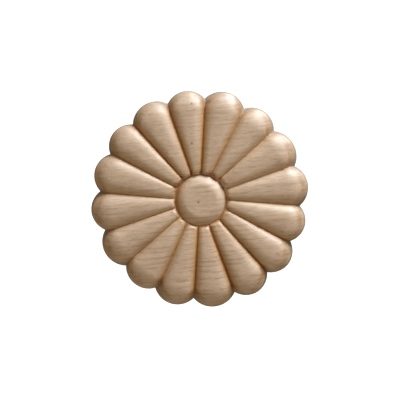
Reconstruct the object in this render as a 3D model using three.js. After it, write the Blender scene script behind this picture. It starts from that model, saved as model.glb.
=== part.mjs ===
// A round carved wooden rosette: sixteen petals about a plain button, on a flat back that is fixed
// to furniture or joinery. The whole rosette is carved from one piece of wood.
// It is drawn lying on its back, plan in X and Y and relief in Z, and then stood up, so that
// its front faces -Y, its top is +Z and the centre of its flat back is the origin.
import * as THREE from 'three';

// Driving dimensions, in millimetres
const ACROSS = 80; // over two opposite petal tips, round the back
const NOTCH_DEPTH = 3.2; // from the circle of the tips in to the notch between two petals
const EDGE_HEIGHT = 5; // of the side wall in a notch, from the back up to where the carving starts
const TIP_HEIGHT = 6; // of the side wall at a petal's tip
const TIP_DRAFT = 0.75; // how far the side wall leans in at a tip, on its way up
const NOTCH_DRAFT = 2; // how far it leans in at the bottom of a notch
const RIDGE_HEIGHT = 8.6; // back to the top of a petal
const INNER_DIP = 1; // how much lower a petal's top is beside the button
const DIP_END = 27; // distance from the centre at which a petal's top gets level
const PETAL_FOOT = 10.4; // distance from the button's centre at which a petal's ridge rounds down
const FOOT_ROUND = 1.3; // how much further out its sides do, beside the grooves
const RING_RADIUS = 9.35; // outer edge of the narrow ring cut round the button
const RING_HEIGHT = 6.4; // back to the floor of that ring
const RING_WIDTH = 0.2; // floor of the ring, out from the button's foot
const BUTTON_HEIGHT = 8.3; // back to the flat top of the button
const BUTTON_BEVEL = 4.1; // width of the bevel round the button's flat top
const BUTTON_RIGHT = 0.2; // how far the hand-cut button sits to the right of the rosette's centre
const BUTTON_DOWN = 0.8; // and how far below it

// Shape values
const PETALS = 16;
const FIRST_GROOVE = 19.3; // direction of the first groove, in degrees round from +X
const FULLNESS = 0.85; // how upright a petal's sides get in its cross-section, 1 for upright
const SQUARENESS = 2.7; // how flat the top of that cross-section is, 2 for an ellipse
const TIP_FULLNESS = 0.4; // how upright a petal's round end gets, straight out from its ridge
const TIP_SQUARENESS = 2; // how flat the round end starts
const FOOT_EASE = 2; // how softly a petal's inner end leaves its top, 1 for a straight slope
const BEVEL_EASE = 2; // how softly the bevel leaves the button's flat top, 1 for a straight slope

// The carver's drift from the even pattern, groove by groove and petal by petal; turns in degrees
const GROOVE_TURN = [0.5, 0, -1, 0, 0, 0.5, -2, -2, -0.5, -0.5, 1.5, 0, 2, 1, -2, -1];
const GROOVE_MISS = [-0.2, 0.5, 0.2, 0.1, 0, -0.1, 0.6, 1.1, 0.5, 0.2, -0.7, -0.1, -0.6, -0.2, 0.9, 0.1];
const NOTCH_TURN = [-0.5, 0.5, -0.5, 0.5, -0.5, 0.5, -0.5, -1, -1, 0.5, -1, -0.5, 1, 0.5, 0.5, -1];
const TIP_REACH = [-0.3, -0.3, 0.2, -0.2, 0, -0.1, 0, 0.2, 0.2, -0.5, 0.1, 0.1, 0.3, 0.4, -0.2, 0];

// How finely the surface is divided
const STEPS_ACROSS = 8; // across one petal, groove to groove
const PETAL_STATIONS = [1, 0.98, 0.95, 0.91, 0.86, 0.8, 0.72, 0.58, 0.42, 0.26, 0.12, 0];
const FOOT_STATIONS = [0.66, 0.33, 0]; // down a petal's inner end, to the ring
const BEVEL_STEPS = 5; // over the button's bevel

const HALF_ANGLE = Math.PI / PETALS; // half a petal, seen from the centre
const button = new THREE.Vector2(BUTTON_RIGHT, -BUTTON_DOWN);
const buttonRadius = RING_RADIUS - RING_WIDTH;
const outline = roundEnd(ACROSS / 2, ACROSS / 2 - NOTCH_DEPTH);
const crown = roundEnd(ACROSS / 2 - TIP_DRAFT, ACROSS / 2 - NOTCH_DEPTH - NOTCH_DRAFT);

// The circle that rounds a petal's end: it passes through the tip and the notches on both sides
function roundEnd(tip, notch) {
  const halfChord = notch * Math.sin(HALF_ANGLE);
  const rise = tip - notch * Math.cos(HALF_ANGLE);
  const radius = (halfChord ** 2 + rise ** 2) / (2 * rise);
  return { centre: tip - radius, radius };
}

// Distance from the rosette's centre to a round end; across runs from -1 to 1 over the petal
function reach(end, across) {
  const turn = across * HALF_ANGLE;
  const aside = end.centre * Math.sin(turn);
  return end.centre * Math.cos(turn) + Math.sqrt(end.radius ** 2 - aside ** 2);
}

// The share of its full depth that a rounded form has fallen at a share of its width from its top
function roundedFall(share, fullness, squareness) {
  return (1 - Math.sqrt(1 - fullness * share ** squareness)) / (1 - Math.sqrt(1 - fullness));
}

// Height of a petal, a rounded cone that widens outwards and ends in a round end, which falls
// more gently straight out than it does to its sides
function petalHeight(distance, across) {
  const along = distance * Math.cos(across * HALF_ANGLE);
  const aside = distance * Math.sin(across * HALF_ANGLE);
  const size = Math.min(along / crown.centre, 1);
  const past = Math.max(along - crown.centre, 0);
  const fromRidge = Math.hypot(past, aside);
  const tipwards = past > 0 ? (past / fromRidge) ** 2 : 0;
  const share = fromRidge / (crown.radius * size);
  const side = (RIDGE_HEIGHT - EDGE_HEIGHT) * roundedFall(share, FULLNESS, SQUARENESS);
  const tip = (RIDGE_HEIGHT - TIP_HEIGHT) * roundedFall(share, TIP_FULLNESS, TIP_SQUARENESS);
  const inwards = Math.max((DIP_END - along) / (DIP_END - PETAL_FOOT), 0);
  const fall = INNER_DIP * inwards ** 3 + size * THREE.MathUtils.lerp(side, tip, tipwards);
  return RIDGE_HEIGHT - fall;
}

// Distance from the button's centre at which a petal starts to round down to the ring
function petalFoot(across) {
  return PETAL_FOOT + FOOT_ROUND * across ** 2;
}

// Direction in which a groove's straight line is met at a distance from a moved centre
function grooveDirection(groove, distance, centre) {
  const number = groove % PETALS;
  const even = FIRST_GROOVE + (groove * 360) / PETALS;
  const line = THREE.MathUtils.degToRad(even + GROOVE_TURN[number % GROOVE_TURN.length]);
  const side = centre.y * Math.cos(line) - centre.x * Math.sin(line);
  return line + Math.asin((GROOVE_MISS[number % GROOVE_MISS.length] - side) / distance);
}

// Direction of a notch in the outline
function notchDirection(groove) {
  const even = FIRST_GROOVE + (groove * 360) / PETALS;
  return THREE.MathUtils.degToRad(even + NOTCH_TURN[groove % PETALS % NOTCH_TURN.length]);
}

// One closed loop of points: place(petal, across, t) gives each point, t from 0 to 1 over a petal
function loop(place) {
  const points = [];
  for (let petal = 0; petal < PETALS; petal++) {
    for (let step = 0; step < STEPS_ACROSS; step++) {
      const t = step / STEPS_ACROSS;
      points.push(place(petal, 2 * t - 1, t));
    }
  }
  return points;
}

function pointAt(centre, distance, direction, height) {
  const x = centre.x + distance * Math.cos(direction);
  const y = centre.y + distance * Math.sin(direction);
  return new THREE.Vector3(x, y, height);
}

// A loop round the outline of the flat back
function backLoop() {
  const centre = new THREE.Vector2();
  return loop((petal, across, t) => {
    const tipDrift = TIP_REACH[petal % TIP_REACH.length] * (1 - across ** 2);
    const direction = THREE.MathUtils.lerp(notchDirection(petal), notchDirection(petal + 1), t);
    return pointAt(centre, reach(outline, across) + tipDrift, direction, 0);
  });
}

// A loop over the petals: station 1 is the top edge of the side wall, 0 is the petals' foot
function petalLoop(station) {
  const centre = button.clone().multiplyScalar(1 - station);
  return loop((petal, across, t) => {
    const distance = THREE.MathUtils.lerp(petalFoot(across), reach(crown, across), station);
    const tipDrift = TIP_REACH[petal % TIP_REACH.length] * (1 - across ** 2) * station ** 2;
    const left = grooveDirection(petal, distance, centre);
    const right = grooveDirection(petal + 1, distance, centre);
    const direction = THREE.MathUtils.lerp(left, right, t);
    return pointAt(centre, distance + tipDrift, direction, petalHeight(distance, across));
  });
}

// A loop on the petals' inner ends: station 1 is their foot, 0 the outer edge of the ring
function footLoop(station) {
  const rise = 1 - (1 - station) ** FOOT_EASE;
  return loop((petal, across, t) => {
    const distance = THREE.MathUtils.lerp(RING_RADIUS, petalFoot(across), station);
    const left = grooveDirection(petal, distance, button);
    const right = grooveDirection(petal + 1, distance, button);
    const height = THREE.MathUtils.lerp(RING_HEIGHT, petalHeight(distance, across), rise);
    return pointAt(button, distance, THREE.MathUtils.lerp(left, right, t), height);
  });
}

// A loop on the button's bevel: station 1 is its foot, 0 the edge of its flat top
function buttonLoop(station) {
  const distance = buttonRadius - BUTTON_BEVEL * (1 - station);
  const height = THREE.MathUtils.lerp(BUTTON_HEIGHT, RING_HEIGHT, station ** BEVEL_EASE);
  return loop((petal, across, t) => {
    const left = grooveDirection(petal, RING_RADIUS, button);
    const right = grooveDirection(petal + 1, RING_RADIUS, button);
    return pointAt(button, distance, THREE.MathUtils.lerp(left, right, t), height);
  });
}

// A closed skin over loops of points, from the back's outline to the button, with both ends filled
function closedSkin(loops) {
  const count = loops[0].length;
  const points = loops.flat();
  const backCentre = points.push(new THREE.Vector3(button.x, button.y, 0)) - 1;
  const topCentre = points.push(new THREE.Vector3(button.x, button.y, BUTTON_HEIGHT)) - 1;
  const last = (loops.length - 1) * count;
  const faces = [];
  for (let i = 0; i < count; i++) {
    const next = (i + 1) % count;
    faces.push(backCentre, next, i);
    faces.push(topCentre, last + i, last + next);
    for (let base = 0; base < last; base += count) {
      const up = base + count;
      faces.push(base + i, base + next, up + next);
      faces.push(base + i, up + next, up + i);
    }
  }
  const geometry = new THREE.BufferGeometry().setFromPoints(points);
  geometry.setIndex(faces);
  geometry.computeVertexNormals();
  return geometry;
}

function rosetteGeometry() {
  const loops = [backLoop()];
  for (const station of PETAL_STATIONS) loops.push(petalLoop(station));
  for (const station of FOOT_STATIONS) loops.push(footLoop(station));
  for (let step = 0; step <= BEVEL_STEPS; step++) {
    loops.push(buttonLoop(1 - step / BEVEL_STEPS));
  }
  return closedSkin(loops);
}

const paleWood = new THREE.MeshStandardMaterial({ color: 0xc9a781, roughness: 0.5, metalness: 0 });
const rosette = new THREE.Mesh(rosetteGeometry(), paleWood);
rosette.name = 'rosette';
rosette.rotation.x = Math.PI / 2;

const group = new THREE.Group();
group.add(rosette);

export default group;
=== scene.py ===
# %% [markdown]
# # A carved wooden rosette
# This small ornament is carved from one piece of pale, fine-grained wood. Sixteen rounded petals
# stand about a plain button, and the flat back is glued to furniture or to a door. The lesson
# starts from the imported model, which fixes every size and place. It then carves a finer surface
# over the same form, gives it a wood that runs through the whole solid, and lights it softly.

import bpy
import numpy as np
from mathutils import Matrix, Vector


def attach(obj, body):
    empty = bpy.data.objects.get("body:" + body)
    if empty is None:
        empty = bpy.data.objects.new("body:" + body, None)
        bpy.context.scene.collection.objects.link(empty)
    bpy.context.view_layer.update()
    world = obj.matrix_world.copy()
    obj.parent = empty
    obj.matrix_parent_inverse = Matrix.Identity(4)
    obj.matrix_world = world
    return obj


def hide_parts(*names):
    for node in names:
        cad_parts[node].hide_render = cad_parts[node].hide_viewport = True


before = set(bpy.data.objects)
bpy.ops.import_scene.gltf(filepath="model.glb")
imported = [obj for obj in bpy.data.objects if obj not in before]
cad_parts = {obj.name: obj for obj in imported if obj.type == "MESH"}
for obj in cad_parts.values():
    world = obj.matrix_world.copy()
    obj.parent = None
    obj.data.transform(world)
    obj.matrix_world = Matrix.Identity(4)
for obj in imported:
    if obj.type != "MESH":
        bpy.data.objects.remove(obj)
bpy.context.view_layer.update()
MM = 0.001  # a millimetre in metres; sizes below are millimetres times MM

# %% [markdown]
# The camera looks square on at the front, as the photograph does. A wide lens would make the
# button, which is nearer, look too large, so a long lens stands well back. The picture's scale
# fixes the distance: the rosette's 80 mm fill a little over half of a square picture.

# %% Camera
LENS = 150 * MM
SENSOR = 36 * MM
PICTURE_WIDTH = 146.8 * MM  # real width that the picture takes in at the rosette's back
CAMERA_DROP = 0.6 * MM  # the rosette sits a little above the middle of the picture

camera_data = bpy.data.cameras.new("camera")
camera_data.lens = LENS / MM
camera_data.sensor_width = SENSOR / MM
camera = bpy.data.objects.new("camera", camera_data)
bpy.context.collection.objects.link(camera)
camera_distance = PICTURE_WIDTH * LENS / SENSOR
camera.location = (0, -camera_distance, -CAMERA_DROP)
camera.rotation_euler = Vector((0, 1, 0)).to_track_quat("-Z", "Y").to_euler()
bpy.context.scene.camera = camera
print("camera stands", round(camera_distance / MM), "mm in front")

# %% [markdown]
# Every new surface here is a grid of points worked out with numpy: rows of points go round a
# middle, and each row is joined to the next. Blender could also lathe or sculpt such a form, but a
# formula keeps the petals true to the frame, and whole arrays are quick. Two helpers do it: one
# gives the faces between the rows, the other makes the mesh.

# %% From points and faces to a mesh
def mesh_object(name, points, quads, triangles):
    """A mesh from an array of points and arrays of point numbers, four or three to a face."""
    corners = np.concatenate([quads.ravel(), triangles.ravel()]).astype(np.int32)
    sizes = np.concatenate([np.full(len(quads), 4), np.full(len(triangles), 3)])
    starts = np.concatenate([[0], np.cumsum(sizes)[:-1]]).astype(np.int32)
    mesh = bpy.data.meshes.new(name)
    mesh.vertices.add(len(points))
    mesh.vertices.foreach_set("co", points.astype(np.float32).ravel())
    mesh.loops.add(len(corners))
    mesh.loops.foreach_set("vertex_index", corners)
    mesh.polygons.add(len(sizes))
    mesh.polygons.foreach_set("loop_start", starts)
    mesh.update(calc_edges=True)
    mesh.validate()
    mesh.shade_smooth()
    thing = bpy.data.objects.new(name, mesh)
    bpy.context.collection.objects.link(thing)
    return thing


print("mesh_object is ready")

# %% [markdown]
# Two neighbouring rows make a belt of four-sided faces. The first and the last row are closed with
# a fan of triangles round one point in the middle, so that the skin has no hole and is one solid.

# %% Faces between rows
def closed_rows(rows):
    """Faces over rows of points that each close on themselves, and a fan on each end.
    The two fan centres are the points after the last row: first the one beside row 0."""
    count, around = rows.shape[:2]
    here = np.arange(around)
    after = (here + 1) % around
    base = np.arange(count - 1)[:, None] * around
    up = base + around
    quads = np.stack([base + here, base + after, up + after, up + here], axis=-1)
    first_centre = np.full(around, count * around)
    last_centre = first_centre + 1
    last_row = (count - 1) * around
    first_fan = np.stack([first_centre, after, here], axis=-1)
    last_fan = np.stack([last_centre, last_row + here, last_row + after], axis=-1)
    return quads.reshape(-1, 4), first_fan, last_fan


print("closed_rows is ready")

# %% [markdown]
# The studio is a pale floor that sweeps up into a wall on all sides, like a wide bowl. A plane and
# a bent backdrop would show their edges from some sides, and a bowl has none. It is told not to
# shade or light the wood, so that the ground stays pure white while the petals' shaded sides stay
# dark, and so that a lamp may stand beyond it.

# %% The bowl's form
FLOOR_BELOW = 260 * MM
BOWL_RADIUS = 2600 * MM
BOWL_HEIGHT = 2400 * MM
BOWL_STEPS = 48
BOWL_ROWS = 24
BOWL_START = 0.02  # the first row's share of the way out, round the fan in the middle


def bowl_rows():
    """Rows of a bowl, by a turn that goes from nothing to a quarter: the radius grows as the sine
    of the turn, and the height as the square of one less its cosine, so the floor starts flat."""
    turn = np.linspace(BOWL_START, 1, BOWL_ROWS)[:, None] * np.pi / 2
    around = np.linspace(0, 2 * np.pi, BOWL_STEPS, endpoint=False)[None, :]
    radius = BOWL_RADIUS * np.sin(turn)
    height = BOWL_HEIGHT * (1 - np.cos(turn)) ** 2 - FLOOR_BELOW
    x = radius * np.cos(around)
    y = radius * np.sin(around)
    return np.stack(np.broadcast_arrays(x, y, height), axis=-1)


bowl = bowl_rows()
bowl_quads, bowl_middle, _ = closed_rows(bowl)
bowl_points = np.concatenate([bowl.reshape(-1, 3), [[0, 0, bowl[0, 0, 2]]]])
floor = mesh_object("studio_floor", bowl_points, bowl_quads[:, ::-1], bowl_middle[:, ::-1])
print("floor", round(FLOOR_BELOW / MM), "mm below the rosette's centre")

# %% [markdown]
# A matt white alone would turn grey where the lamps don't reach. The ground therefore glows by
# itself, just bright enough that the camera sees it as white.

# %% A white that stays white
GROUND_ROUGHNESS = 0.9
GROUND_GLOW = 1.0  # light of its own, which the camera sees as plain white

ground = bpy.data.materials.new("white_ground")
ground.use_nodes = True
ground_shader = ground.node_tree.nodes["Principled BSDF"]
ground_shader.inputs["Base Color"].default_value = (0.9, 0.9, 0.9, 1)
ground_shader.inputs["Roughness"].default_value = GROUND_ROUGHNESS
ground_shader.inputs["Emission Color"].default_value = (1, 1, 1, 1)
ground_shader.inputs["Emission Strength"].default_value = GROUND_GLOW
floor.data.materials.append(ground)
floor.visible_diffuse = False
floor.visible_glossy = False
floor.visible_shadow = False
print("the floor lights and shades nothing")

# %% [markdown]
# One large soft lamp from the upper right skims over the carving. The photograph's highlights sit
# on the upper right of each petal's end and the lower left flanks are dark, which gives its
# direction. A pale card below throws a little warm light back up, and a lamp straight behind shows
# the flat back from there, without reaching the front. Area lamps are used because a sun or a point
# would leave hard edges in the grooves.

# %% Lamps
LAMP_DISTANCE = 900 * MM
LAMP_SIZE = 520 * MM
LAMP_DIRECTION = 61  # degrees round from the right, seen from the front
LAMP_LIFT = 20  # degrees out of the rosette's plane, towards the camera
LAMP_POWER = 11.6
COOL_WHITE = (0.96, 1.0, 1.04)
CARD_DIRECTION = 262  # from below
CARD_LIFT = 12
CARD_POWER = 0.7
WARM_WHITE = (1.0, 0.85, 0.68)
BEHIND = -90  # the lift of a lamp straight behind
BACK_POWER = 3.5
PLAIN_WHITE = (1.0, 1.0, 1.0)


def soft_lamp(name, direction, lift, power, colour):
    """A round soft lamp that looks at the rosette from a direction round its face and a lift."""
    around, out = np.radians([direction, lift])
    way = Vector((np.cos(out) * np.cos(around), -np.sin(out), np.cos(out) * np.sin(around)))
    data = bpy.data.lights.new(name, "AREA")
    data.shape = "DISK"
    data.size = LAMP_SIZE
    data.energy = power
    data.color = colour
    lamp = bpy.data.objects.new(name, data)
    lamp.location = way * LAMP_DISTANCE
    lamp.rotation_euler = way.to_track_quat("Z", "Y").to_euler()
    bpy.context.collection.objects.link(lamp)
    print(name, "stands at", [round(v / MM) for v in lamp.location], "mm")
    return lamp


soft_lamp("soft_lamp", LAMP_DIRECTION, LAMP_LIFT, LAMP_POWER, COOL_WHITE)
soft_lamp("white_card", CARD_DIRECTION, CARD_LIFT, CARD_POWER, WARM_WHITE)
back_lamp = soft_lamp("back_lamp", 0, BEHIND, BACK_POWER, PLAIN_WHITE)
back_lamp.visible_camera = False

# %% [markdown]
# A room's walls fill the shadows evenly. The world does that here, in a warm tone, because light
# that has bounced about between pale wood and the grooves' sides comes back warmer.

# %% Fill
FILL_COLOUR = (1.0, 0.77, 0.49, 1)
FILL_STRENGTH = 0.28

world = bpy.data.worlds.new("studio_fill")
world.use_nodes = True
background = world.node_tree.nodes["Background"]
background.inputs["Color"].default_value = FILL_COLOUR
background.inputs["Strength"].default_value = FILL_STRENGTH
bpy.context.scene.world = world
bpy.context.scene.view_settings.view_transform = "Standard"
print("fill strength", FILL_STRENGTH)

# %% [markdown]
# Now the form itself. A petal is a rounded cone that widens outwards and ends in a round end, and
# its neighbours meet it in grooves that a carver cut along straight lines. In the middle a narrow
# ring is cut round a button with a soft bevel. These are the frame's own sizes, so that the finer
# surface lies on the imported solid.

# %% The rosette's sizes
PETALS = 16
FIRST_GROOVE = 19.3  # direction of the first groove, in degrees round from the right
ACROSS = 80 * MM  # over two opposite petal tips, round the back
NOTCH_DEPTH = 3.2 * MM  # from the circle of the tips in to the notch between two petals
EDGE_HEIGHT = 5 * MM  # of the side wall in a notch
TIP_HEIGHT = 6 * MM  # of the side wall at a tip
TIP_DRAFT = 0.75 * MM  # how far the side wall leans in at a tip
NOTCH_DRAFT = 2 * MM  # and at the bottom of a notch
RIDGE_HEIGHT = 8.6 * MM  # from the back to the top of a petal
INNER_DIP = 1 * MM  # how much lower a petal's top is beside the button
DIP_END = 27 * MM  # distance from the centre at which its top gets level
PETAL_FOOT = 10.4 * MM  # where a petal's ridge starts to round down to the ring
FOOT_ROUND = 1.3 * MM  # how much further out its sides do
RING_RADIUS = 9.35 * MM  # to the outer edge of the ring, from the button's middle
RING_HEIGHT = 6.4 * MM  # from the back to the ring's floor
RING_WIDTH = 0.2 * MM  # of that floor
BUTTON_HEIGHT = 8.3 * MM  # from the back to its flat top
BUTTON_BEVEL = 4.1 * MM  # width of the bevel round that top
BUTTON_PLACE = np.array([0.2, -0.8]) * MM  # to the right of the rosette's centre, and below it

HALF_ANGLE = np.pi / PETALS
BUTTON_RADIUS = RING_RADIUS - RING_WIDTH
print("petals:", PETALS, "each", round(np.degrees(2 * HALF_ANGLE), 1), "degrees wide")

# %% [markdown]
# Two petals of the same size can still look different: one like a half-round stick, the other like
# a cushion. A fullness and a squareness for each rounded form set that, and they follow the way
# that the light fades over the real petals.

# %% How full and how soft each form is
FULLNESS = 0.85  # how upright a petal's sides get, 1 for upright
SQUARENESS = 2.7  # how flat its top is across, 2 for an ellipse
TIP_FULLNESS = 0.4  # how upright its round end gets, straight out
TIP_SQUARENESS = 2  # and how flat that end starts
FOOT_EASE = 2  # how softly a petal's inner end leaves its top, 1 for a straight slope
BEVEL_EASE = 2  # how softly the bevel leaves the button's flat top
print("a petal's end falls", round((RIDGE_HEIGHT - TIP_HEIGHT) / MM, 1), "mm to its tip")

# %% [markdown]
# A machine would space the petals evenly, and a hand doesn't. The groove lines miss the centre by
# up to a millimetre and turn by up to two degrees, the notches and the petals' reach drift too, and
# the button sits a little low. These small numbers are what makes it look carved.

# %% The carver's drift, groove by groove and petal by petal
GROOVE_TURN = np.array([0.5, 0, -1, 0, 0, 0.5, -2, -2, -0.5, -0.5, 1.5, 0, 2, 1, -2, -1])  # degrees
GROOVE_MISS = np.array([-0.2, 0.5, 0.2, 0.1, 0, -0.1, 0.6, 1.1,
                        0.5, 0.2, -0.7, -0.1, -0.6, -0.2, 0.9, 0.1]) * MM
NOTCH_TURN = np.array([-0.5, 0.5, -0.5, 0.5, -0.5, 0.5, -0.5, -1,
                       -1, 0.5, -1, -0.5, 1, 0.5, 0.5, -1])  # degrees
TIP_REACH = np.array([-0.3, -0.3, 0.2, -0.2, 0, -0.1, 0, 0.2,
                      0.2, -0.5, 0.1, 0.1, 0.3, 0.4, -0.2, 0]) * MM
print("largest miss of the centre, mm:", round(np.abs(GROOVE_MISS).max() / MM, 1))

# %% [markdown]
# All rows share one list of places round the rosette. A place is a petal's number and a share of
# the way over that petal, and the steps gather beside the grooves, where the surface turns quickly.

# %% One row's places round the rosette
STEPS_ACROSS = 44
GATHER = 0.55  # how strongly the steps gather beside the grooves, 0 for even steps

step = np.arange(STEPS_ACROSS) / STEPS_ACROSS
gathered = step - GATHER * np.sin(2 * np.pi * step) / (2 * np.pi)
petal = np.repeat(np.arange(PETALS), STEPS_ACROSS)
share = np.tile(gathered, PETALS)  # 0 at a petal's first groove, 1 at its second
across = 2 * share - 1  # -1 at a petal's first groove, 0 on its ridge, 1 at its second
print("points in a row:", len(petal))

# %% [markdown]
# Seen from the front, each petal ends in an arc. Two arcs matter: the outline round the back, and
# the crown, where the side wall ends and the carving starts.

# %% Round ends
def round_end(tip, notch):
    """Centre distance and radius of the circle through a petal's tip and the notches beside it."""
    half_chord = notch * np.sin(HALF_ANGLE)
    rise = tip - notch * np.cos(HALF_ANGLE)
    radius = (half_chord**2 + rise**2) / (2 * rise)
    return tip - radius, radius


def reach(end):
    """Distance from the rosette's centre to a round end: where a ray leaves the end's circle."""
    centre, radius = end
    turn = across * HALF_ANGLE
    return centre * np.cos(turn) + np.sqrt(radius**2 - (centre * np.sin(turn)) ** 2)


OUTLINE = round_end(ACROSS / 2, ACROSS / 2 - NOTCH_DEPTH)
CROWN = round_end(ACROSS / 2 - TIP_DRAFT, ACROSS / 2 - NOTCH_DEPTH - NOTCH_DRAFT)
print("round end of a petal:", round(CROWN[1] / MM, 2), "mm radius")

# %% [markdown]
# A petal's cross-section is fuller than an ellipse: nearly flat on top, and steep beside the
# groove. Its round end falls more gently straight out. One curve with two settings gives both, and
# the end is blended from the one to the other by how far a place lies past the end's centre.

# %% Height of a petal
TINY = 1e-9  # keeps a division by nothing away, on the ridge


def rounded_fall(width_share, fullness, squareness):
    """The share of its depth that a rounded form has fallen at a share of its width from the top:
    one less the root of one less fullness times the share to the power of squareness, scaled to
    end at one."""
    fallen = 1 - np.sqrt(1 - fullness * width_share**squareness)
    return fallen / (1 - np.sqrt(1 - fullness))


def petal_height(distance):
    """The ridge's height, less a cubic dip near the button, less a rounded fall from the ridge to
    each side. Past the centre of the round end the fall is measured from that centre, and goes over
    from the side's to the tip's by the square of the cosine of its direction."""
    along = distance * np.cos(across * HALF_ANGLE)
    aside = distance * np.sin(across * HALF_ANGLE)
    size = np.minimum(along / CROWN[0], 1)
    past = np.maximum(along - CROWN[0], 0)
    from_ridge = np.hypot(past, aside)
    tipwards = (past / np.maximum(from_ridge, TINY)) ** 2
    width_share = from_ridge / (CROWN[1] * size)
    side = (RIDGE_HEIGHT - EDGE_HEIGHT) * rounded_fall(width_share, FULLNESS, SQUARENESS)
    tip = (RIDGE_HEIGHT - TIP_HEIGHT) * rounded_fall(width_share, TIP_FULLNESS, TIP_SQUARENESS)
    inwards = np.maximum((DIP_END - along) / (DIP_END - PETAL_FOOT), 0)
    return RIDGE_HEIGHT - INNER_DIP * inwards**3 - size * (side + (tip - side) * tipwards)


print("petal heights are ready")

# %% [markdown]
# The carver laid a straight edge and cut each groove along it. A row of points follows a circle, so
# each groove's direction on that circle has to be worked out from where its straight line crosses.

# %% Directions of the grooves and the notches
def groove_direction(groove, distance, centre):
    """Where a straight groove line crosses a circle: its own direction, turned by the arc sine of
    how far the line passes from the circle's centre, over the circle's radius."""
    line = np.radians(FIRST_GROOVE + groove * 360 / PETALS + GROOVE_TURN[groove % PETALS])
    side = centre[..., 1] * np.cos(line) - centre[..., 0] * np.sin(line)
    return line + np.arcsin((GROOVE_MISS[groove % PETALS] - side) / distance)


def between_grooves(distance, centre):
    """Directions over each petal, shared evenly between its two groove lines."""
    first = groove_direction(petal, distance, centre)
    second = groove_direction(petal + 1, distance, centre)
    return first + (second - first) * share


def notch_direction(groove):
    """Direction of a notch in the outline: the even pattern and the notch's own turn."""
    return np.radians(FIRST_GROOVE + groove * 360 / PETALS + NOTCH_TURN[groove % PETALS])


def between_notches():
    """Directions round the outline, shared evenly between its notches."""
    first = notch_direction(petal)
    return first + (notch_direction(petal + 1) - first) * share


def plan(centre, distance, direction, height):
    """Points of the front seen square on: x to the right, y up, z towards the eye."""
    x = centre[..., 0] + distance * np.cos(direction)
    y = centre[..., 1] + distance * np.sin(direction)
    return np.stack(np.broadcast_arrays(x, y, height), axis=-1)


print("first groove at", FIRST_GROOVE, "degrees")

# %% [markdown]
# The rows run from the back over the side wall, up the petals' round ends, along the petals to
# their inner ends, through the ring cut round the button, and over the button to its middle. Each
# stretch is one function of two parameters: the station along the stretch and the place round the
# rosette. The first stretch is the sawn edge: a flat back whose rim was eased with sandpaper, and a
# wall that leans in a little.

# %% Rows over the back and the side wall
BACK_EASE = 0.3 * MM  # sanded edge round the flat back
BACK_STATIONS = np.array([0.35, 0.7, 1.0])  # shares of the way out to the eased edge
EASE_ROWS = 3
WALL_ROWS = 10
WALL_START = 0.2  # station of the first row above the eased edge
CENTRE = np.zeros(2)

tip_drift = TIP_REACH[petal] * (1 - across**2)  # full on a petal's ridge, none at its grooves


def back_rows(stations):
    """Flat rows from near the middle of the back out to its eased edge, in equal shares."""
    edge = reach(OUTLINE) + tip_drift - BACK_EASE
    return plan(CENTRE, stations[:, None] * edge, between_notches(), 0.0)


def wall_rows(stations):
    """The side wall: straight from the outline in to the crown's edge, and pulled in at the back by
    a quarter circle, its radius less the root of one less the square of the height left in it."""
    outer = plan(CENTRE, reach(OUTLINE) + tip_drift, between_notches(), 0.0)
    crown = reach(CROWN)
    inner = plan(CENTRE, crown + tip_drift, between_grooves(crown, CENTRE), petal_height(crown))
    rows = outer + (inner - outer) * stations[:, None, None]
    low = np.clip(1 - rows[..., 2:] / BACK_EASE, 0, 1)
    pull = BACK_EASE * (1 - np.sqrt(1 - low**2))
    outwards = rows[..., :2] / np.linalg.norm(rows[..., :2], axis=-1, keepdims=True)
    rows[..., :2] -= outwards * pull
    return rows


ease_stations = np.linspace(0, BACK_EASE / EDGE_HEIGHT, EASE_ROWS + 1)[1:]
wall_stations = np.concatenate([ease_stations, np.linspace(WALL_START, 1, WALL_ROWS)])
back = back_rows(BACK_STATIONS)
wall = wall_rows(wall_stations)
print("back rows", back.shape, "wall rows", wall.shape)

# %% [markdown]
# The last stroke of the parting tool leaves a narrow vee at the bottom of each groove. It is too
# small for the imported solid, but it gives each groove its crisp dark line, so the finer surface has
# it. It runs out towards the rim, where the tool was lifted.

# %% Rows over the petals
PETAL_ROWS = 78
CROWDING = 1.35  # how strongly the rows crowd towards the round ends, 1 for even rows
CUT_DEPTH = 0.08 * MM
CUT_HALF_WIDTH = 0.28 * MM
CUT_RUN_OUT = 0.06  # share of a petal's length over which the cut runs out at the rim

foot = PETAL_FOOT + FOOT_ROUND * across**2


def beside_groove(distance):
    """How far a point is from the nearest groove: half a petal's arc, less in proportion to how
    near it is to that groove."""
    return (1 - np.abs(across)) * HALF_ANGLE * distance


def cut_depth(distance):
    """Depth of the narrow vee: full on the groove line, less in proportion to how far a point is
    from it, and none past half the cut's width."""
    return CUT_DEPTH * np.maximum(1 - beside_groove(distance) / CUT_HALF_WIDTH, 0)


def petal_rows(stations):
    """Petals from their round ends, station 1, to the foot, station 0: the distance and the centre
    that it is measured from go in equal shares from the rosette's to the button's."""
    stations = stations[:, None]
    centre = BUTTON_PLACE * (1 - stations[..., None])
    distance = foot + (reach(CROWN) - foot) * stations
    cut = cut_depth(distance) * np.clip((1 - stations) / CUT_RUN_OUT, 0, 1)
    height = petal_height(distance) - cut
    reached = distance + tip_drift * stations**2
    return plan(centre, reached, between_grooves(distance, centre), height), distance


petal_stations = 1 - (1 - np.linspace(1, 0, PETAL_ROWS)) ** CROWDING
petals, petal_distance = petal_rows(petal_stations[1:])
print("petal rows", petals.shape)

# %% [markdown]
# At its inner end a petal rounds down steeply to the ring. The rows there are circles round the
# button, not round the rosette, because the carver cut this ring last, about the button.

# %% Rows over the petals' inner ends
END_ROWS = 12


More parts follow.
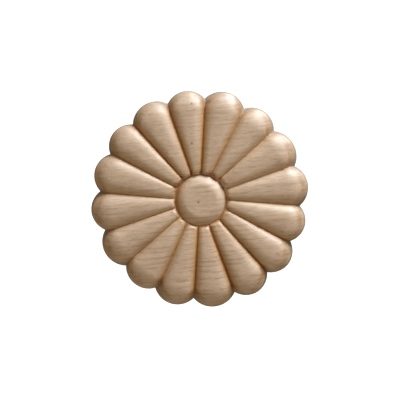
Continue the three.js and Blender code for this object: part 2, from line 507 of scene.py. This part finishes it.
def inner_end_rows(stations):
    """A petal's inner end, station 1 its foot and 0 the ring: the height's share of the way up is
    one less how far the station is from the foot, to the power FOOT_EASE."""
    stations = stations[:, None]
    distance = RING_RADIUS + (foot - RING_RADIUS) * stations
    rise = 1 - (1 - stations) ** FOOT_EASE
    height = RING_HEIGHT + (petal_height(distance) - cut_depth(distance) - RING_HEIGHT) * rise
    return plan(BUTTON_PLACE, distance, between_grooves(distance, BUTTON_PLACE), height), distance


inner_ends, end_distance = inner_end_rows(np.linspace(1, 0, END_ROWS)[1:])
print("inner end rows", inner_ends.shape)

# %% [markdown]
# The button is a flat disc with a wide soft bevel, pared with a chisel. It rises from the floor of
# the ring, and its top is closed with rings and a small fan in the middle.

# %% Rows over the button
BEVEL_ROWS = 14
TOP_ROWS = 7


def bevel_rows(stations):
    """The button's bevel, station 1 its foot and 0 the edge of its flat top: the height falls by
    the power BEVEL_EASE of the station, so the bevel starts softly and gets steeper outwards."""
    stations = stations[:, None]
    distance = BUTTON_RADIUS - BUTTON_BEVEL * (1 - stations)
    height = BUTTON_HEIGHT - (BUTTON_HEIGHT - RING_HEIGHT) * stations**BEVEL_EASE
    return plan(BUTTON_PLACE, distance, between_grooves(RING_RADIUS, BUTTON_PLACE), height)


def top_rows(stations):
    """The button's flat top: rows in to the middle in equal shares."""
    distance = (BUTTON_RADIUS - BUTTON_BEVEL) * stations[:, None]
    direction = between_grooves(RING_RADIUS, BUTTON_PLACE)
    return plan(BUTTON_PLACE, distance, direction, BUTTON_HEIGHT)


bevel = bevel_rows(np.linspace(1, 0, BEVEL_ROWS))
button_top = top_rows(np.linspace(1, 0, TOP_ROWS + 1)[1:-1])
print("bevel rows", bevel.shape, "top rows", button_top.shape)

# %% [markdown]
# The stain, the polish and the tool's marks differ from stretch to stretch, so a helper lays a
# value for each stretch into rows that match the points. The first use is how rough the sawn
# surface is: the wall and the back were never polished, and the wall's top edge was rubbed over
# with the front.

# %% Values that follow the rows
STRETCHES = {"back": back, "wall": wall, "petals": petals, "inner_ends": inner_ends,
             "bevel": bevel, "button_top": button_top}
BACK_RAW = 0.3  # the flat back is as sawn, but clean
EDGE_RAW = (0.8, 0.4)  # the wall's last two rows, rubbed with the front


def value_rows(**values):
    """One value per point: each stretch's own value or values, and 0 where none is given."""
    laid = [np.broadcast_to(values.get(name, 0.0), points.shape[:2])
            for name, points in STRETCHES.items()]
    return np.concatenate(laid)


rows = np.concatenate(list(STRETCHES.values()))
wall_raw = np.ones((len(wall), 1))
wall_raw[-2:, 0] = EDGE_RAW
raw_rows = value_rows(back=BACK_RAW, wall=wall_raw)
print("rows in all", rows.shape)

# %% [markdown]
# No carved surface is as even as a formula. A sum of a few flat waves in all directions, about two
# hundredths of a millimetre high, makes the highlights waver as they do on handwork. A sculpted or
# random unevenness would do as well, but waves stay smooth at any fineness. The wall and the back
# were sawn and planed, so they stay true.

# %% The unevenness of handwork
WAVES = 14
UNEVEN = 0.02 * MM
SHORTEST_WAVE = 3  # in mm
LONGEST_WAVE = 11
rng = np.random.default_rng(7)
wave_turns = rng.uniform(0, 2 * np.pi, WAVES)
wave_lengths = rng.uniform(SHORTEST_WAVE, LONGEST_WAVE, WAVES) * MM
wave_starts = rng.uniform(0, 2 * np.pi, WAVES)


def unevenness(points):
    """A sum of flat waves, each a sine of how far a point lies along the wave's own direction,
    over the root of half their number, which keeps the usual height the same."""
    along = points[..., :1] * np.cos(wave_turns) + points[..., 1:2] * np.sin(wave_turns)
    waves = np.sin(2 * np.pi * along / wave_lengths + wave_starts)
    return UNEVEN * waves.sum(axis=-1) / np.sqrt(WAVES / 2)


carved_share = value_rows(wall=1 - wall_raw, petals=1.0, inner_ends=1.0, bevel=1.0, button_top=1.0)
bumps = unevenness(rows) * carved_share
rows[..., 2] += bumps
print("largest unevenness, mm:", round(np.abs(bumps).max() / MM, 2))

# %% [markdown]
# The rows were worked out lying on their back, as on the bench. Standing up, the front faces -Y and
# the top is +Z. Then all rows are joined into one closed skin, as the rosette is one piece of wood.

# %% Stand the rosette up and join its rows
quads, back_fan, top_fan = closed_rows(rows)
fans = np.concatenate([back_fan, top_fan])
fan_centres = np.array([[*BUTTON_PLACE, 0], [*BUTTON_PLACE, rows[-1, :, 2].mean()]])
lying = np.concatenate([rows.reshape(-1, 3), fan_centres])
upright = np.stack([lying[:, 0], -lying[:, 2], lying[:, 1]], axis=-1)
rosette = mesh_object("carved_rosette", upright, quads, fans)
print("triangles:", 2 * len(quads) + len(fans))

# %% [markdown]
# A stain was wiped over the carving and rubbed off again. It stays in the grooves, and most in those
# that cross the grain, whose walls are end grain and drink it. The same values also paint shade into
# the grooves, with a narrow dark line at their bottom, so they are partly stain and partly painted
# shade. The ring and the left of the bevel are darkened as well, mostly with painted shade. It
# follows the carving, not the wood, so it is worked out from the rows and stored on the mesh, where a
# material can read it.

# %% Stain and painted shade beside the grooves
STAIN_AND_SHADE_FULL = 0.4 * MM  # distance from a groove up to which the stain and painted shade are full
STAIN_AND_SHADE_END = 2.7 * MM  # and past which there is none
SHADE_LINE_END = 0.9 * MM  # the same for a narrow line of painted shade along the groove
GROOVE_SHARE = 0.28  # how dark the stain is in the palest grooves, against the ring
ACROSS_GRAIN = 0.50  # how much darker it is in the grooves that cross the grain
SHADE_LINE_SHARE = 0.40  # and how much more painted shade darkens the line of those grooves
PALE_GROOVES = 20  # direction of the palest grooves, in degrees


def smooth_fall(distance, full, end):
    """One up to a full distance, none from an end distance on, and a smooth step between them:
    the square of the share left, times three less twice that share."""
    left = np.clip((end - distance) / (end - full), 0, 1)
    return left**2 * (3 - 2 * left)


def groove_stain_and_shade(distance):
    """Stain and painted shade beside the grooves: it fades with the distance from the groove, with a
    narrow line of painted shade in it, and is stronger with the square of the sine of the groove's
    turn from the palest ones."""
    nearest = petal + np.round(share)
    turn = np.radians(FIRST_GROOVE + nearest * 360 / PETALS - PALE_GROOVES)
    crossing = np.sin(turn) ** 2
    beside = beside_groove(distance)
    wide = (GROOVE_SHARE + ACROSS_GRAIN * crossing) * smooth_fall(beside, STAIN_AND_SHADE_FULL, STAIN_AND_SHADE_END)
    return wide + SHADE_LINE_SHARE * crossing * smooth_fall(beside, 0, SHADE_LINE_END)


print("stain reaches", round(STAIN_AND_SHADE_END / MM, 1), "mm from a groove")

# %% [markdown]
# The ring is narrow and deep, and its darkening is the strongest: stain, with painted shade for the
# shade that falls into it. On the left of the bevel, the side away from the lamp, painted shade fades
# from the foot upwards. Where the two meet, the stronger one counts.

# %% Stain and painted shade in the ring, painted shade on the bevel
RING_STAIN_AND_SHADE = 0.5 * MM  # how far the ring's stain and painted shade reach to both sides
BEVEL_SHADE_FULL = 0.3 * MM  # distance from the bevel's foot up to which its painted shade is full
BEVEL_SHADE_END = 2.8 * MM  # and past which there is none
LEFT_START = 0.35  # share of the button's radius at which the left side's painted shade starts
LEFT_SPAN = 0.5  # and how much further out it is full

from_middle = bevel[..., :2] - BUTTON_PLACE
from_foot = BUTTON_RADIUS - np.linalg.norm(from_middle, axis=-1)
leftwards = np.clip(-from_middle[..., 0] / BUTTON_RADIUS - LEFT_START, 0, LEFT_SPAN) / LEFT_SPAN
# painted shade: the bevel is darker on its left, the side away from the lamp
bevel_painted_shade = leftwards * smooth_fall(from_foot, BEVEL_SHADE_FULL, BEVEL_SHADE_END)
bevel_stain_and_shade = np.maximum(smooth_fall(from_foot, 0, RING_STAIN_AND_SHADE), bevel_painted_shade)
ring_stain_and_shade = smooth_fall(end_distance - RING_RADIUS, 0, RING_STAIN_AND_SHADE)
end_stain_and_shade = np.maximum(groove_stain_and_shade(end_distance), ring_stain_and_shade)
stain_and_shade_rows = value_rows(petals=groove_stain_and_shade(petal_distance), inner_ends=end_stain_and_shade,
                         bevel=bevel_stain_and_shade)
print("deepest stain on the bevel:", round(bevel_stain_and_shade.max(), 2))

# %% [markdown]
# The rim is tinted greyer and a little darker. A brown arc lies inside each round end: partly stain,
# partly painted shade where the end rolls over towards the rim. The inner ends are torn and worn
# where the tool met the ring, and the polish is thin on the wall, on the back and at the foot of the
# bevel.

# %% Rim, arcs, wear and dullness
RIM_GREY_REACH = 3.4 * MM  # how far in from the rim the wood is greyer
WALL_RIM_START = 0.5  # share of the wall's height at which that starts
ARC_INSIDE = 2 * MM  # how far inside the rim the arc of stain and painted shade lies
ARC_CORE = 0.3 * MM  # to both sides of its middle it is full
ARC_HALF_WIDTH = 1.7 * MM  # and past this there is none
WEAR_FULL = 0.8 * MM  # distance from the ring up to which the inner ends are worn
WEAR_END = 2.8 * MM  # and past which they aren't
BUTTON_DULL = 0.35  # how much of the polish is missing at the bevel's foot

from_rim = reach(CROWN) - petal_distance
wall_rim = np.clip((wall_stations - WALL_RIM_START) / (1 - WALL_RIM_START), 0, 1)[:, None]
rim_rows = value_rows(wall=wall_rim, petals=smooth_fall(from_rim, 0, RIM_GREY_REACH))
arc = smooth_fall(np.abs(from_rim - ARC_INSIDE), ARC_CORE, ARC_HALF_WIDTH)
worn = smooth_fall(petal_distance - RING_RADIUS, WEAR_FULL, WEAR_END)
thin_polish = BUTTON_DULL * smooth_fall(from_foot, 0, BUTTON_BEVEL)
print("arc of stain", round(ARC_INSIDE / MM, 1), "mm inside the rim")

# %% [markdown]
# Blender keeps such values on a mesh as attributes: a named list with one value for each point. A
# painted picture could hold them too, but it would need an unwrapping and a file of its own.

# %% Store them on the mesh
row_values = {
    "stain_and_shade": stain_and_shade_rows,
    "rim": rim_rows,
    "raw": raw_rows,
    "dull": value_rows(back=1.0, wall=1.0, bevel=thin_polish),
    "inner_end": value_rows(petals=worn, inner_ends=1.0),
    "arc": value_rows(petals=arc),
}
for name, values in row_values.items():
    attribute = rosette.data.attributes.new(name, "FLOAT", "POINT")
    per_point = np.concatenate([values.ravel(), values[0, :1], values[-1, :1]])
    attribute.data.foreach_set("value", per_point.astype(np.float32))
print("attributes:", ", ".join(row_values))

# %% [markdown]
# The real wood is a pale, close-grained hardwood. A photograph of wood wrapped round the form would
# stretch on the petals' sides, and could not show the grain turning into end grain. A wood that is
# worked out from each point's place in the solid does all of this from any side, with no
# unwrapping. It takes many small nodes, so a few helpers write them.

# %% Helpers for material nodes
wood = bpy.data.materials.new("pale_wood")
wood.use_nodes = True
wood_tree = wood.node_tree
wood_shader = wood_tree.nodes["Principled BSDF"]
MIX_SHARE, MIX_FIRST, MIX_SECOND = 0, 6, 7  # a Mix node's sockets for colours
MIX_RESULT = 2


def feed(socket, value):
    """Give a socket a plain value, or link another node's output to it."""
    if isinstance(value, bpy.types.NodeSocket):
        wood_tree.links.new(value, socket)
    else:
        socket.default_value = value


def node(kind, inputs, **settings):
    """A new node's outputs: settings are its own options, and inputs go by name or number."""
    made = wood_tree.nodes.new("ShaderNode" + kind)
    for name, value in settings.items():
        setattr(made, name, value)
    for key, value in inputs.items():
        feed(made.inputs[key], value)
    return made.outputs


def maths(operation, first, second=0.0):
    """One sum on two values."""
    return node("Math", {0: first, 1: second}, operation=operation)[0]


def along(direction, point):
    """How far a point lies along a direction: the dot product of the two."""
    return node("VectorMath", {0: point, 1: tuple(direction)}, operation="DOT_PRODUCT")["Value"]


def smooth_step(value, low, high, new_low=0.0, new_high=1.0):
    """new_low up to low, new_high from high on, and a smooth step between them."""
    inputs = {"Value": value, "From Min": low, "From Max": high,
              "To Min": new_low, "To Max": new_high}
    return node("MapRange", inputs, interpolation_type="SMOOTHSTEP")["Result"]


def blend(share, first, second, way="MIX"):
    """A colour between two, by share, or the second laid over the first in another way."""
    inputs = {MIX_SHARE: share, MIX_FIRST: first, MIX_SECOND: second}
    return node("Mix", inputs, data_type="RGBA", blend_type=way)[MIX_RESULT]


def tinted(colour, share, tint):
    """A colour multiplied by a tint, by share."""
    return blend(share, colour, (*tint, 1), "MULTIPLY")


def stored(name):
    """A value that was stored on the mesh."""
    return node("Attribute", {}, attribute_name=name)["Fac"]


print("material helpers are ready")

# %% [markdown]
# Wood is one pattern with three directions: along the grain, through the growth layers, and within
# a layer. Here the grain runs nearly level and the layers lean into the rosette, so a line bends a
# little where the carving rises through a layer. All noise below is drawn out along these three.

# %% A place in the wood, measured along its grain
GRAIN_RISE = 5  # degrees by which the grain rises to the right
LAYER_LEAN = 16  # degrees by which the growth layers lean back into the wood

rise, lean = np.radians([GRAIN_RISE, LAYER_LEAN])
along_grain = np.array([np.cos(rise), 0, np.sin(rise)])
through_layers = np.array([-np.sin(rise) * np.cos(lean), -np.sin(lean),
                           np.cos(rise) * np.cos(lean)])
within_layer = np.cross(along_grain, through_layers)

coordinates = node("TexCoord", {})
place = coordinates["Object"]
height = node("SeparateXYZ", {"Vector": place})["Z"]


def grain_noise(length, thickness, width, detail=1.0, roughness=0.5, seed=0.0):
    """Noise at a place's three distances in the wood, each over a size: a fleck is about length by
    thickness by width, in mm. Detail adds finer flecks, and the seed moves to other ones."""
    parts = [along(along_grain / (length * MM), place),
             along(through_layers / (thickness * MM), place),
             along(within_layer / (width * MM), place)]
    parts[0] = maths("ADD", parts[0], seed)
    vector = node("CombineXYZ", dict(enumerate(parts)))[0]
    inputs = {"Vector": vector, "Scale": 1.0, "Detail": detail, "Roughness": roughness}
    return node("TexNoise", inputs)["Fac"]


print("grain runs along", np.round(along_grain, 2))

# %% [markdown]
# A growth line is the thin dark end of one year's layer. A cosine of the place through the layers
# repeats it, a power makes it thin, and two noises push it about, one slowly and one in small
# wavers, so that no two lines are equally far apart. Most lines fade out and come back, and they
# show best on the lower half.

# %% Growth lines
LINE_SPACING = 1.75 * MM
DRIFT = 2.5  # how far a line wanders, in spacings
WAVER = 0.8  # how far it wavers, in spacings
LINE_POWER = 4  # how thin a line is
FAINT_BELOW, CLEAR_ABOVE = 0.38, 0.62  # the noise at which a line has faded out, and is clear
FULL_LINES = -26 * MM  # height up to which the lines are at their strongest
WEAK_LINES = 14 * MM  # height from which they are weakest
WEAKEST = 0.6
TURN = 2 * np.pi

drift = maths("MULTIPLY", grain_noise(length=50, thickness=5, width=18, seed=7.3), TURN * DRIFT)
waver = maths("MULTIPLY", grain_noise(length=16, thickness=1.3, width=6, seed=4.4), TURN * WAVER)
even_turns = along(through_layers * TURN / LINE_SPACING, place)
turns = maths("ADD", even_turns, maths("ADD", drift, waver))
wave = maths("MULTIPLY", maths("ADD", maths("COSINE", turns), 1.0), 0.5)
faintness = grain_noise(length=6, thickness=1.5, width=4, detail=1.5, seed=3.1)
line_strength = maths("MULTIPLY", smooth_step(faintness, FAINT_BELOW, CLEAR_ABOVE),
                      smooth_step(height, FULL_LINES, WEAK_LINES, 1.0, WEAKEST))
growth_line = maths("MULTIPLY", maths("POWER", wave, LINE_POWER), line_strength)
print("growth lines every", round(LINE_SPACING / MM, 2), "mm")

# %% [markdown]
# Between the lines the wood changes in broad layers and clouds, and close up it is made of fibres
# and a few dark pores. Each is the same noise at another size.

# %% Layers, clouds, fibres and pores
LOW, HIGH = 0.3, 0.7  # most of a noise's values lie between these two
PORE_START, PORE_FULL = 0.70, 0.78  # only the noise's peaks become pores

layers = grain_noise(length=40, thickness=1.15, width=14, detail=2, roughness=0.6)
clouds = grain_noise(length=24, thickness=9, width=12, detail=2, seed=2.2)
fibres = grain_noise(length=2.4, thickness=0.32, width=0.45, detail=2, roughness=0.6, seed=1.7)
pore_noise = grain_noise(length=4.5, thickness=0.26, width=0.3, detail=0, seed=5.9)
pores = smooth_step(pore_noise, PORE_START, PORE_FULL)
print("wood nodes so far:", len(wood_tree.nodes))

# %% [markdown]
# The colours are laid over one another. A pale and a darker layer come first and then the clouds.
# Fibres, lines and pores only darken what is under them, so they are multiplied in as tints, which
# keeps the wood's own hue where it changes.

# %% The clean wood's colour
DARK_LAYER = (0.643, 0.478, 0.347, 1)
PALE_LAYER = (0.721, 0.558, 0.419, 1)
CLOUD = (0.700, 0.532, 0.390, 1)
CLOUD_SHARE = 0.6
FIBRE_TINT = (0.80, 0.76, 0.70)
FIBRE_SHARE = 0.75
LINE_TINT = (0.77, 0.70, 0.61)
PORE_TINT = (0.62, 0.52, 0.42)
PORE_SHARE = 0.7

wood_colour = blend(smooth_step(layers, LOW, HIGH), DARK_LAYER, PALE_LAYER)
wood_colour = blend(smooth_step(clouds, LOW, HIGH, 0.0, CLOUD_SHARE), wood_colour, CLOUD)
wood_colour = tinted(wood_colour, smooth_step(fibres, LOW, HIGH, FIBRE_SHARE, 0.0), FIBRE_TINT)
wood_colour = tinted(wood_colour, growth_line, LINE_TINT)
wood_colour = tinted(wood_colour, maths("MULTIPLY", pores, PORE_SHARE), PORE_TINT)
print("clean wood:", PALE_LAYER[:3])

# %% [markdown]
# Where the surface faces along the grain, the cut ends of the fibres drink the stain and the wood is
# darker and warmer in patches. The surface's own direction tells where that is. The stain and painted
# shade of the grooves, the ring and the bevel come from the mesh, and where they are deepest the tint
# goes from amber to brown, which is painted shade.

# %% Stain on end grain, and stain with painted shade in the hollows
END_GRAIN_START, END_GRAIN_FULL = 0.45, 0.9
END_GRAIN_TINT = (0.88, 0.78, 0.64)
PATCH_LOW, PATCH_HIGH = 0.36, 0.62
STAIN_AND_SHADE_TINT = (0.75, 0.52, 0.17)
DEEP_SHADE_START = 0.8
DEEP_SHADE_TINT = (0.82, 0.70, 0.45)

end_facing = maths("ABSOLUTE", along(along_grain, coordinates["Normal"]))
patches = grain_noise(length=5, thickness=2.2, width=2.6, detail=2, roughness=0.6, seed=9.4)
end_grain = maths("MULTIPLY", smooth_step(end_facing, END_GRAIN_START, END_GRAIN_FULL),
                  smooth_step(patches, PATCH_LOW, PATCH_HIGH))
wood_colour = tinted(wood_colour, end_grain, END_GRAIN_TINT)
stain_and_shade = stored("stain_and_shade")
wood_colour = tinted(wood_colour, stain_and_shade, STAIN_AND_SHADE_TINT)
# painted shade: the deepest part turns from amber to brown
wood_colour = tinted(wood_colour, smooth_step(stain_and_shade, DEEP_SHADE_START, 1.0), DEEP_SHADE_TINT)
print("hollows are tinted", STAIN_AND_SHADE_TINT)

# %% [markdown]
# At the inner ends the tool ran against the ring and tore the fibres. Small dark flecks stand there
# on the upper half, where the cut went against the grain, and soft brown patches where the torn
# wood soaked up stain. Real tears could be cut into the mesh, but they are finer than its faces.

# %% Torn flecks and soaked patches at the inner ends
UPPER_START, UPPER_FULL = -2 * MM, 6 * MM
TORN_START, TORN_FULL = 0.52, 0.60
TORN_TINT = (0.48, 0.36, 0.25)
SOAKED_START, SOAKED_FULL = 0.46, 0.58
SOAKED_TINT = (0.80, 0.60, 0.34)

worn_end = stored("inner_end")
worn_above = maths("MULTIPLY", worn_end, smooth_step(height, UPPER_START, UPPER_FULL))
torn_noise = grain_noise(length=1.3, thickness=0.6, width=0.9, seed=8.8)
torn = maths("MULTIPLY", worn_above, smooth_step(torn_noise, TORN_START, TORN_FULL))
wood_colour = tinted(wood_colour, torn, TORN_TINT)
soaked_noise = grain_noise(length=2.6, thickness=1.8, width=2.0, seed=2.9)
soaked = maths("MULTIPLY", worn_end, smooth_step(soaked_noise, SOAKED_START, SOAKED_FULL))
wood_colour = tinted(wood_colour, soaked, SOAKED_TINT)
print("torn flecks are tinted", TORN_TINT)

# %% [markdown]
# The rim is tinted greyer and a little darker. Just inside it, on the sides that show end grain, a
# broken brown arc is painted: partly dried stain, partly shade where the round end rolls over towards
# the rim. The side wall and the back are raw wood, duller and browner than the rubbed front.

# %% Rim, arcs and raw wood
RIM_TINT = (0.83, 0.82, 0.80)
ARC_FACING_START, ARC_FACING_FULL = 0.15, 0.55
ARC_NOISE_LOW, ARC_NOISE_HIGH = 0.36, 0.60
ARC_LEAST = 0.25  # how much is left of an arc where it is broken
ARC_TINT = (0.80, 0.66, 0.44)
RAW_TINT = (0.62, 0.65, 0.70)
RAW_BROWN = (0.33, 0.30, 0.28, 1)
RAW_BROWN_SHARE = 0.25

wood_colour = tinted(wood_colour, stored("rim"), RIM_TINT)
broken_noise = grain_noise(length=3.5, thickness=2.2, width=2.6, seed=6.1)
broken = smooth_step(broken_noise, ARC_NOISE_LOW, ARC_NOISE_HIGH, ARC_LEAST, 1.0)
end_side = smooth_step(end_facing, ARC_FACING_START, ARC_FACING_FULL)
# stain and painted shade: a broken brown arc inside each round end
stain_and_shade_arc = maths("MULTIPLY", maths("MULTIPLY", stored("arc"), end_side), broken)
wood_colour = tinted(wood_colour, stain_and_shade_arc, ARC_TINT)
raw = stored("raw")
wood_colour = tinted(wood_colour, raw, RAW_TINT)
wood_colour = blend(maths("MULTIPLY", raw, RAW_BROWN_SHARE), wood_colour, RAW_BROWN)
print("rim is tinted", RIM_TINT)

# %% [markdown]
# Two kinds of spot are placed one by one, because the eye finds them at once: a dark soaked spot
# where one groove runs out at the lower left, and three pin knots, the cut ends of tiny shoots. A
# spot is a smooth step of the distance from its middle.

# %% Soaked spot and pin knots
SOAKED_SPOT = (-13.9, -6, -30.05)  # x, y, z, in mm
SPOT_RADIUS = 2.9
SPOT_CORE = 0.2  # share of the radius up to which it is full
SPOT_SHARE = 0.9
SPOT_TINT = (0.62, 0.50, 0.35)
PIN_KNOTS = [(-0.62, -8.3, -1.43), (-3.01, -8.4, 34.24), (-3.01, -8.6, 19.93)]
KNOT_RADIUS = 0.38
KNOT_CORE, KNOT_END = 0.4, 1.5  # shares of that radius at which a knot starts and ends to fade
KNOT_COLOUR = (0.10, 0.05, 0.02, 1)
KNOT_SHARE = 0.85


def round_spot(middle, core, end, strength):
    """A round spot: its full strength up to the core's radius, none from the end's radius on."""
    centre = tuple(v * MM for v in middle)
    away = node("VectorMath", {0: place, 1: centre}, operation="DISTANCE")["Value"]
    return smooth_step(away, core * MM, end * MM, strength, 0.0)


spot = round_spot(SOAKED_SPOT, SPOT_CORE * SPOT_RADIUS, SPOT_RADIUS, SPOT_SHARE)
wood_colour = tinted(wood_colour, spot, SPOT_TINT)
knot = 0.0
for middle in PIN_KNOTS:
    one_knot = round_spot(middle, KNOT_CORE * KNOT_RADIUS, KNOT_END * KNOT_RADIUS, 1.0)
    knot = maths("MAXIMUM", one_knot, knot)
wood_colour = blend(maths("MULTIPLY", knot, KNOT_SHARE), wood_colour, KNOT_COLOUR)
print("pin knots:", len(PIN_KNOTS))

# %% [markdown]
# The front was sanded and rubbed to a soft satin, so light slides along it in broad highlights. The
# fibres stand up a few hundredths of a millimetre, and the lines, pores and knots lie a little
# lower, which is too fine for the mesh and is left to a bump. The polish is one finish all over, so
# its strength goes straight on the shader's sockets, and only its roughness changes with the clouds
# and where the surface is dull.

# %% Satin finish and fine relief
LINE_SINK = 0.2  # how deep each lies, against the fibres' height
PORE_SINK = 0.6
BUMP_STRENGTH = 0.5
BUMP_DEPTH = 0.06 * MM
SMOOTHEST, ROUGHEST = 0.50, 0.58
DULLER = 0.25  # roughness that is added where there is no polish
POLISH_IOR = 1.7
POLISH_LEVEL = 1.0

relief = maths("SUBTRACT", fibres, maths("MULTIPLY", growth_line, LINE_SINK))
relief = maths("SUBTRACT", relief, maths("MULTIPLY", pores, PORE_SINK))
relief = maths("SUBTRACT", relief, knot)
bump = node("Bump", {"Height": relief, "Strength": BUMP_STRENGTH, "Distance": BUMP_DEPTH})
satin = smooth_step(clouds, LOW, HIGH, SMOOTHEST, ROUGHEST)
roughness = maths("ADD", satin, maths("MULTIPLY", stored("dull"), DULLER))
feed(wood_shader.inputs["Base Color"], wood_colour)
feed(wood_shader.inputs["Roughness"], roughness)
feed(wood_shader.inputs["Normal"], bump["Normal"])
feed(wood_shader.inputs["IOR"], POLISH_IOR)
feed(wood_shader.inputs["Specular IOR Level"], POLISH_LEVEL)
rosette.data.materials.append(wood)
print("wood nodes:", len(wood_tree.nodes))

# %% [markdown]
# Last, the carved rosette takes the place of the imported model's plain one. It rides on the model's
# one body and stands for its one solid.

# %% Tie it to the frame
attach(rosette, "root")
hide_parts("rosette")
print("tied to the frame:", rosette.name)
